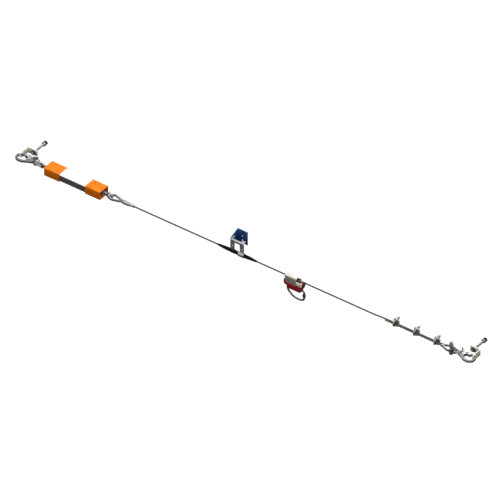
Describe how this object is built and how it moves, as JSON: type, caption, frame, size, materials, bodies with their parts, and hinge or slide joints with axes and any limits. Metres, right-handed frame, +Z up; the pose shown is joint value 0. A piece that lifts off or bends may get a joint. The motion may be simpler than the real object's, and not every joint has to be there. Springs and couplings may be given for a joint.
{
  "type": "horizontal wire rope lifeline",
  "caption": "Horizontal wire-rope lifeline with wall anchors, snap hooks, energy absorber, rope clips, intermediate wall bracket and a sliding traveller with a hanging connector.",
  "frame": {"origin": "middle of the two bolt holes in the intermediate bracket, on the wall face", "axes": "+X along the rope from the absorber end to the clip end, +Y into the wall, +Z up"},
  "size_m": [2.673, 0.197, 0.206],
  "materials": {
    "rope": "stranded, galvanised",
    "sleeve": "satin black",
    "bracket": "dark blue coat",
    "guide": "brushed stainless",
    "screw": "plain",
    "shackle": "forged, galvanised",
    "shackle_nut": "galvanised",
    "absorber_cap": "orange",
    "absorber_sleeve": "white",
    "absorber_eye": "galvanised",
    "tear_strip": "plain",
    "thimble": "satin",
    "clip": "galvanised",
    "clip_nut": "galvanised",
    "traveller_shell": "satin",
    "traveller_shoe": "natural nylon",
    "traveller_body": "dark red, polished",
    "traveller_axle": "polished",
    "traveller_latch": "cream",
    "roller": "turned",
    "connector": "polished",
    "connector_gate": "polished",
    "lock_sleeve": "anodised dark red",
    "anchor_plate": "pale cream",
    "anchor_rod": "bright threaded",
    "anchor_nut": "blackened",
    "anchor_washer": "bright",
    "hook_body": "forged, galvanised",
    "hook_gate": "pressed, pale",
    "hook_lever": "pressed, pale",
    "hook_rivet": "plain",
    "gate_spring": "spring wire",
    "swivel_eye": "forged, galvanised"
  },
  "bodies": {
    "line": {"wire_rope": "rope", "sleeve": "sleeve", "bracket_plate": "bracket", "cable_guide": "guide", "guide_screws": "screw", "left_shackle_bow": "shackle", "left_shackle_pin": "shackle", "left_shackle_nut": "shackle_nut", "right_shackle_bow": "shackle", "right_shackle_pin": "shackle", "right_shackle_nut": "shackle_nut", "absorber_cap_left": "absorber_cap", "absorber_cap_right": "absorber_cap", "absorber_sleeve": "absorber_sleeve", "absorber_screws": "screw", "absorber_eye_left": "absorber_eye", "absorber_eye_right": "absorber_eye", "absorber_pins": "absorber_eye", "absorber_tear_strip": "tear_strip", "left_thimble": "thimble", "right_thimble": "thimble", "ferrule": "thimble", "clip_saddle_1": "clip", "clip_saddle_2": "clip", "clip_saddle_3": "clip", "clip_u_bolts": "clip", "clip_nuts": "clip_nut", "left_hook_body": "hook_body", "left_hook_rivets": "hook_rivet", "left_gate_spring": "gate_spring", "left_swivel_eye": "swivel_eye", "right_hook_body": "hook_body", "right_hook_rivets": "hook_rivet", "right_gate_spring": "gate_spring", "right_swivel_eye": "swivel_eye"},
    "left_anchor": {"left_anchor_plate": "anchor_plate", "left_anchor_rod": "anchor_rod", "left_anchor_nuts": "anchor_nut", "left_anchor_washer": "anchor_washer"},
    "right_anchor": {"right_anchor_plate": "anchor_plate", "right_anchor_rod": "anchor_rod", "right_anchor_nuts": "anchor_nut", "right_anchor_washer": "anchor_washer"},
    "left_gate": {"left_hook_gate": "hook_gate"},
    "right_gate": {"right_hook_gate": "hook_gate"},
    "left_lever": {"left_hook_lock_lever": "hook_lever"},
    "right_lever": {"right_hook_lock_lever": "hook_lever"},
    "slide_shoe": {"traveller_slide_shoe": "traveller_shoe"},
    "traveller": {"traveller_shell": "traveller_shell", "traveller_body": "traveller_body", "traveller_axles": "traveller_axle", "traveller_latch_pin": "traveller_axle"},
    "roller_1": {"traveller_roller_1": "roller"},
    "roller_2": {"traveller_roller_2": "roller"},
    "latch": {"traveller_latch": "traveller_latch"},
    "connector": {"connector_ring": "connector", "connector_gate_pin": "connector"},
    "connector_gate": {"connector_gate": "connector_gate"},
    "lock_sleeve": {"connector_lock_sleeve": "lock_sleeve"}
  },
  "joints": [
    {"name": "left_anchor_swivel", "type": "hinge", "parent": "line", "child": "left_anchor", "pos_m": [-1.2613, -0.0615, -0.0445], "axis": [0, 0, 1], "range_deg": [-15, 15]},
    {"name": "right_anchor_swivel", "type": "hinge", "parent": "line", "child": "right_anchor", "pos_m": [1.3823, -0.0615, -0.0445], "axis": [0, 0, 1], "range_deg": [-15, 15]},
    {"name": "left_gate_hinge", "type": "hinge", "parent": "line", "child": "left_gate", "pos_m": [-1.206, -0.063, -0.0445], "axis": [0, 0, 1], "range_deg": [0, 25], "stiffness_Nm_per_rad": 0.2, "springref_deg": -17.19},
    {"name": "right_gate_hinge", "type": "hinge", "parent": "line", "child": "right_gate", "pos_m": [1.327, -0.063, -0.0445], "axis": [0, 0, 1], "range_deg": [-25, 0], "stiffness_Nm_per_rad": 0.2, "springref_deg": 17.19},
    {"name": "left_lever_hinge", "type": "hinge", "parent": "line", "child": "left_lever", "pos_m": [-1.201, -0.0525, -0.0445], "axis": [0, 0, 1], "range_deg": [-12, 0], "stiffness_Nm_per_rad": 0.2, "springref_deg": 17.19},
    {"name": "right_lever_hinge", "type": "hinge", "parent": "line", "child": "right_lever", "pos_m": [1.322, -0.0525, -0.0445], "axis": [0, 0, 1], "range_deg": [0, 12], "stiffness_Nm_per_rad": 0.2, "springref_deg": -17.19},
    {"name": "traveller_slide", "type": "slide", "parent": "line", "child": "slide_shoe", "axis": [1, 0, 0], "range_m": [-0.16, 0.4]},
    {"name": "traveller_swing", "type": "hinge", "parent": "slide_shoe", "child": "traveller", "pos_m": [0.351, -0.063, -0.0445], "axis": [1, 0, 0], "range_deg": [-25, 25]},
    {"name": "roller_1_spin", "type": "hinge", "parent": "traveller", "child": "roller_1", "pos_m": [0.317, -0.063, -0.055], "axis": [0, 1, 0], "range_deg": [-3600, 1500]},
    {"name": "roller_2_spin", "type": "hinge", "parent": "traveller", "child": "roller_2", "pos_m": [0.389, -0.063, -0.055], "axis": [0, 1, 0], "range_deg": [-3600, 1500]},
    {"name": "traveller_latch_hinge", "type": "hinge", "parent": "traveller", "child": "latch", "pos_m": [0.385, -0.078, -0.0655], "axis": [0, 1, 0], "range_deg": [0, 35], "stiffness_Nm_per_rad": 0.1, "springref_deg": -17.19},
    {"name": "connector_swing", "type": "hinge", "parent": "traveller", "child": "connector", "pos_m": [0.351, -0.063, -0.098], "axis": [1, 0, 0], "range_deg": [-70, 70]},
    {"name": "connector_gate_hinge", "type": "hinge", "parent": "connector", "child": "connector_gate", "pos_m": [0.404, -0.063, -0.134], "axis": [0, 1, 0], "range_deg": [-25, 0], "stiffness_Nm_per_rad": 0.1, "springref_deg": 17.19},
    {"name": "lock_sleeve_slide", "type": "slide", "parent": "connector_gate", "child": "lock_sleeve", "axis": [0, 0, 1], "range_m": [0, 0.004]}
  ],
  "couplings": [
    {"joint": "roller_1_spin", "follows": "traveller_slide", "rad_per_m": -153.85},
    {"joint": "roller_2_spin", "follows": "traveller_slide", "rad_per_m": -153.85}
  ]
}
